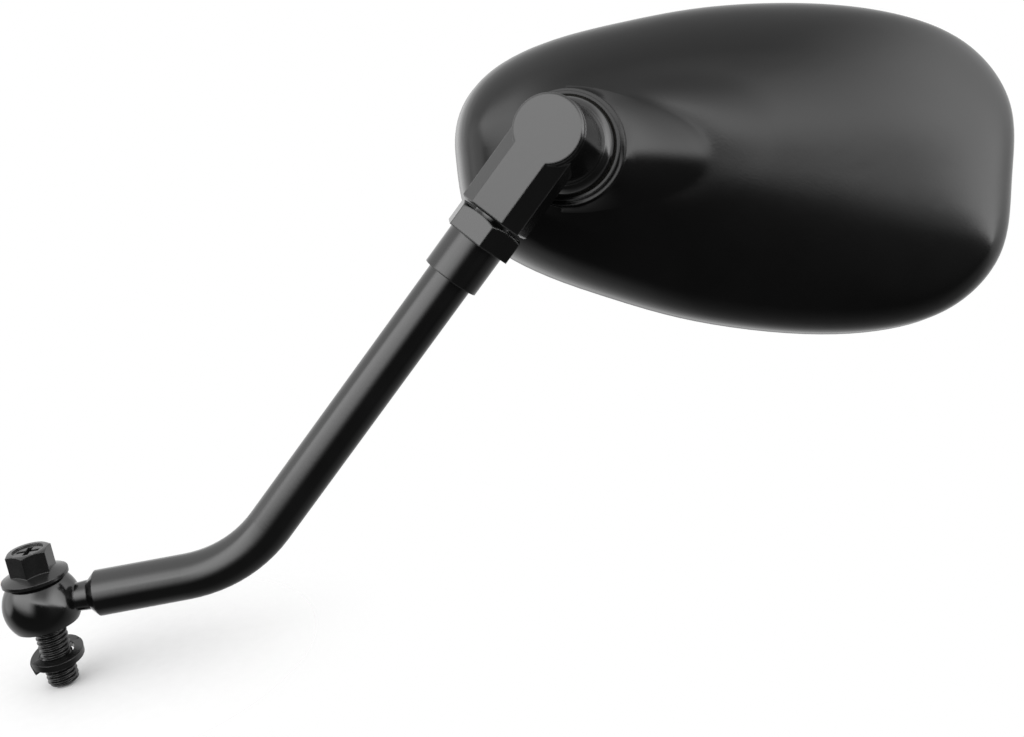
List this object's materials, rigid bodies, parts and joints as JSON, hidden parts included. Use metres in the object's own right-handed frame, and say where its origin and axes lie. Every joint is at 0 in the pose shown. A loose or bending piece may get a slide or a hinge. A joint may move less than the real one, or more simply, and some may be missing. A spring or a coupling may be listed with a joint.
{
  "type": "motorcycle mirror",
  "caption": "Rear-view mirror: rounded oval shell with bent glass, held by a ball joint and square elbow on a bent round stem with a bored ball foot and flange bolt.",
  "frame": {"origin": "on the mounting bolt's axis, at the middle of the plain lead at its free end", "axes": "+Z along the mounting bolt towards its head, +X along the lower arm of the stem away from the ball foot, +Y from the shell's back towards the glass"},
  "size_m": [0.2992, 0.0665, 0.1436],
  "materials": {
    "stem_black": "gloss black paint",
    "bolt_black": "black plated steel",
    "shell_black": "satin black moulding",
    "joint_steel": "zinc plated steel",
    "seat_plastic": "natural nylon",
    "tape_foam": "closed-cell foam",
    "mirror_silver": "silvered glass"
  },
  "bodies": {
    "mount": {"mounting_bolt": "bolt_black", "spring_washer": "bolt_black"},
    "arm": {"stem": "stem_black", "lock_nut": "stem_black"},
    "elbow": {"knuckle": "stem_black", "pivot_bolt": "joint_steel", "thrust_washer": "joint_steel", "disc_spring_1": "joint_steel", "disc_spring_2": "joint_steel"},
    "cup": {"pressure_cup": "joint_steel"},
    "liner": {"friction_washer": "seat_plastic"},
    "head": {"mirror_shell": "shell_black", "ball_seat": "seat_plastic", "glass_tape": "tape_foam", "mirror_glass": "mirror_silver"}
  },
  "joints": [
    {"name": "arm_swing", "type": "hinge", "parent": "mount", "child": "arm", "pos_m": [0, 0, 0.0198], "axis": [0, 0, 1], "continuous": true},
    {"name": "knuckle_turn", "type": "hinge", "parent": "arm", "child": "elbow", "pos_m": [0.14947, 0, 0.11618], "axis": [0.7133, 0, 0.7009], "range_deg": [-180, 180]},
    {"name": "head_turn", "type": "hinge", "parent": "elbow", "child": "cup", "pos_m": [0.1521, 0.00905, 0.1135], "axis": [-0.2682, -0.9239, 0.2729], "range_deg": [-180, 180]},
    {"name": "head_pan", "type": "hinge", "parent": "cup", "child": "liner", "pos_m": [0.1521, 0.00905, 0.1135], "axis": [0.2092, 0.1852, 0.9602], "range_deg": [-10, 10]},
    {"name": "head_tilt", "type": "hinge", "parent": "liner", "child": "head", "pos_m": [0.1521, 0.00905, 0.1135], "axis": [0.9777, -0.0186, -0.2094], "range_deg": [-10, 10]}
  ]
}
